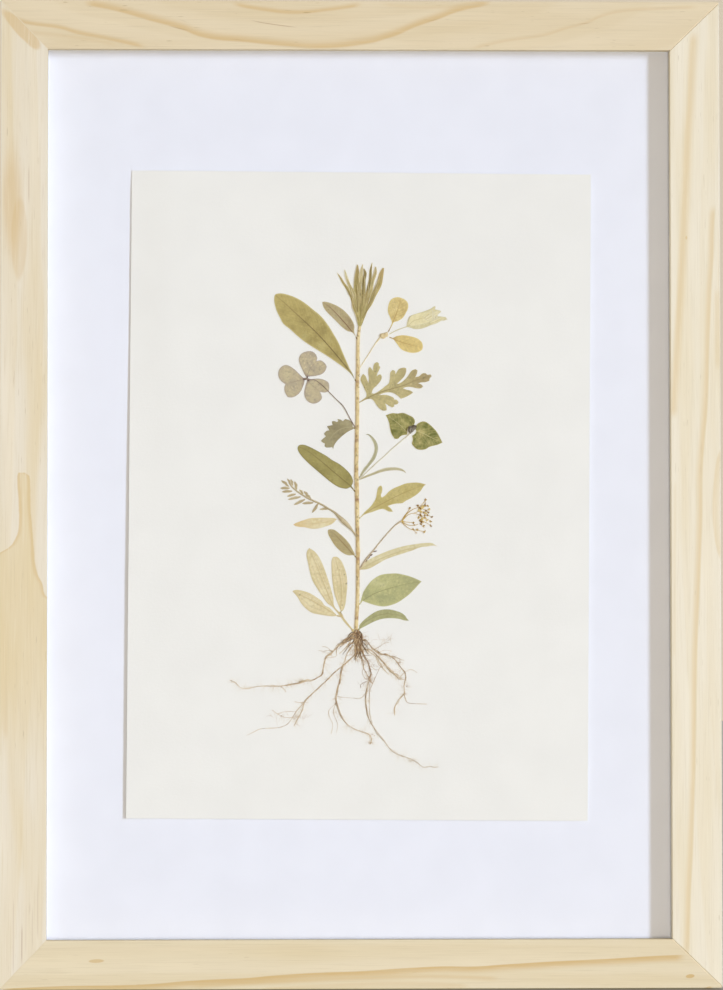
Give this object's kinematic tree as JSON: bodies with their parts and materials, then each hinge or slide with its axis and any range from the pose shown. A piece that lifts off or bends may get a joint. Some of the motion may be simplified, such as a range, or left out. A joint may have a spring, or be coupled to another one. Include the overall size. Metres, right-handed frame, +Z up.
{
  "type": "pressed flower frame",
  "caption": "Pale pine picture frame with pressed leaves, flowers and roots laid out as one tall plant on a white sheet behind clear glass.",
  "frame": {"origin": "middle of the frame's outer box", "axes": "+Z up the frame, -Y out of the glass towards the viewer, +X to the viewer's right"},
  "size_m": [0.3278, 0.02, 0.4492],
  "materials": {
    "pine": "clear satin varnish over pine",
    "clear_glass": "polished clear glass",
    "white_card": "matt white card",
    "hardboard": "brown hardboard, rough side out",
    "cotton_paper": "soft white cotton paper",
    "zinc_steel": "zinc plated spring steel",
    "leaf_green": "dry pressed leaf, dull green",
    "leaf_olive": "dry pressed leaf, olive",
    "leaf_straw": "dry pressed leaf, straw yellow",
    "leaf_brown": "dry pressed leaf, brown",
    "petal": "dry papery petals",
    "dry_stalk": "dry pressed stalk",
    "dry_root": "dry fibrous root"
  },
  "bodies": {
    "root": {"rail_top": "pine", "rail_bottom": "pine", "rail_left": "pine", "rail_right": "pine", "glass_pane": "clear_glass", "spacer_left": "white_card", "spacer_right": "white_card", "spacer_top": "white_card", "spacer_bottom": "white_card", "backing_card": "white_card", "back_panel": "hardboard", "riser_card": "white_card", "specimen_sheet": "cotton_paper", "tab_left_upper": "zinc_steel", "tab_left_lower": "zinc_steel", "tab_right_upper": "zinc_steel", "tab_right_lower": "zinc_steel", "tab_top": "zinc_steel", "tab_bottom": "zinc_steel", "sawtooth_hanger": "zinc_steel", "main_stem": "dry_stalk", "top_tuft": "leaf_olive", "large_leaf": "leaf_olive", "small_brown_leaf": "leaf_brown", "sprig_stalk": "dry_stalk", "sprig_leaflet_upper": "leaf_straw", "sprig_leaflet_lower": "leaf_straw", "flower": "petal", "lobed_leaf": "leaf_olive", "clover_leaflet_top": "leaf_brown", "clover_leaflet_left": "leaf_brown", "clover_leaflet_right": "leaf_brown", "clover_stalk": "dry_stalk", "serrated_leaf": "leaf_olive", "folded_leaf_left": "leaf_green", "folded_leaf_right": "leaf_green", "folded_leaf_stalk": "dry_stalk", "curved_leaf_upper": "leaf_olive", "curved_leaf_lower": "leaf_olive", "oval_leaf": "leaf_green", "needle_sprig": "leaf_brown", "straw_leaf": "leaf_straw", "small_oval_leaf": "leaf_green", "halberd_leaf": "leaf_olive", "umbel_stalk": "dry_stalk", "umbel_head": "leaf_brown", "narrow_leaf": "leaf_straw", "broad_leaf": "leaf_green", "crescent_leaf": "leaf_green", "pale_sprig_middle": "leaf_straw", "pale_sprig_right": "leaf_straw", "pale_sprig_left": "leaf_straw", "root_crown": "dry_root", "root_left": "dry_root", "root_lower_left": "dry_root", "root_hanging": "dry_root", "root_central": "dry_root", "root_long": "dry_root", "root_right": "dry_root", "root_far_right": "dry_root"}
  },
  "joints": []
}
